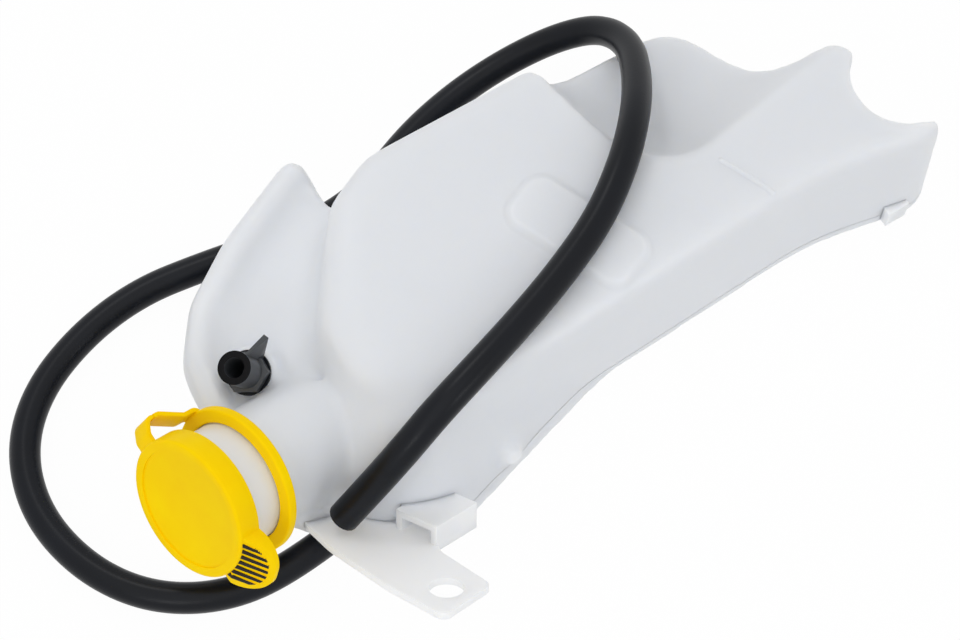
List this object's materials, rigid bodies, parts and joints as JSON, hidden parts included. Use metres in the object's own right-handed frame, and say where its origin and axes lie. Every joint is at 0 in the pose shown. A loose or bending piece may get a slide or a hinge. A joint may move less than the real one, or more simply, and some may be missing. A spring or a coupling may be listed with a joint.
{
  "type": "coolant expansion tank",
  "caption": "Blow-moulded coolant expansion tank with coved body, angled filler neck, tethered snap cap, bolt tab, hose nozzle and loose overflow hose.",
  "frame": {"origin": "middle of the flat back face that the tank lies on", "axes": "+X toward the filler neck along the tank, +Y toward the bolt tab, +Z out of the flat back"},
  "size_m": [0.4256, 0.2375, 0.0864],
  "materials": {
    "natural_hdpe": "milky, softly glossy",
    "yellow_polypropylene": "moulded, fine grain",
    "seal_rubber": "matte",
    "black_nylon": "moulded satin",
    "pickup_nylon": "extruded satin",
    "hose_rubber": "extruded, slight sheen"
  },
  "bodies": {
    "tank_body": {"tank": "natural_hdpe", "tether_ring": "yellow_polypropylene", "hose_fitting": "black_nylon", "fitting_grommet": "seal_rubber", "pickup_tube": "pickup_nylon", "overflow_hose": "hose_rubber"},
    "cap_body": {"filler_cap": "yellow_polypropylene", "cap_seal": "seal_rubber"}
  },
  "joints": [
    {"name": "cap_hinge", "type": "hinge", "parent": "tank_body", "child": "cap_body", "pos_m": [0.20088, -0.00082, 0.0662], "axis": [0.4895, -0.2057, -0.8474], "range_deg": [0, 110]}
  ]
}
